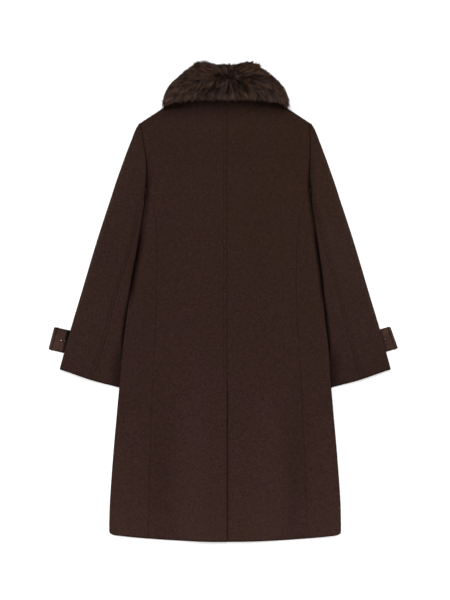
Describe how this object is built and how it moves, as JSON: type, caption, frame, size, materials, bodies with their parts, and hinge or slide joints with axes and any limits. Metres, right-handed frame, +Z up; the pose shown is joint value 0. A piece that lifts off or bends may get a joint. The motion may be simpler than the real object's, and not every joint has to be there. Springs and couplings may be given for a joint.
{
  "type": "women's wool coat with fur collar, laid flat face down",
  "caption": "Long A-line wool coat with a fur collar, back vent, princess seams and cuff tabs, laid flat with its back up.",
  "frame": {"origin": "on the floor under the middle of the laid-out coat", "axes": "+Y towards the collar, +X towards the wearer's right side, +Z up from the floor through the coat to its back"},
  "size_m": [0.8338, 1.1515, 0.0374],
  "materials": {
    "wool": "felted dark brown wool coating with a fine fleck",
    "fur": "thick brown fur with paler tips",
    "leather": "soft brown leather, edge-stitched",
    "metal": "small worn metal fittings"
  },
  "bodies": {
    "root": {"back_left": "wool", "back_right": "wool", "side_left": "wool", "side_right": "wool", "front_left": "wool", "front_right": "wool", "sleeve_upper_left": "wool", "sleeve_upper_right": "wool", "sleeve_under_left": "wool", "sleeve_under_right": "wool", "collar_stand": "wool", "collar_fur": "fur", "cuff_tab_left": "leather", "cuff_tab_right": "leather", "cuff_stud_left": "metal", "cuff_stud_right": "metal", "cuff_eyelet_left": "metal", "cuff_eyelet_right": "metal"}
  },
  "joints": []
}
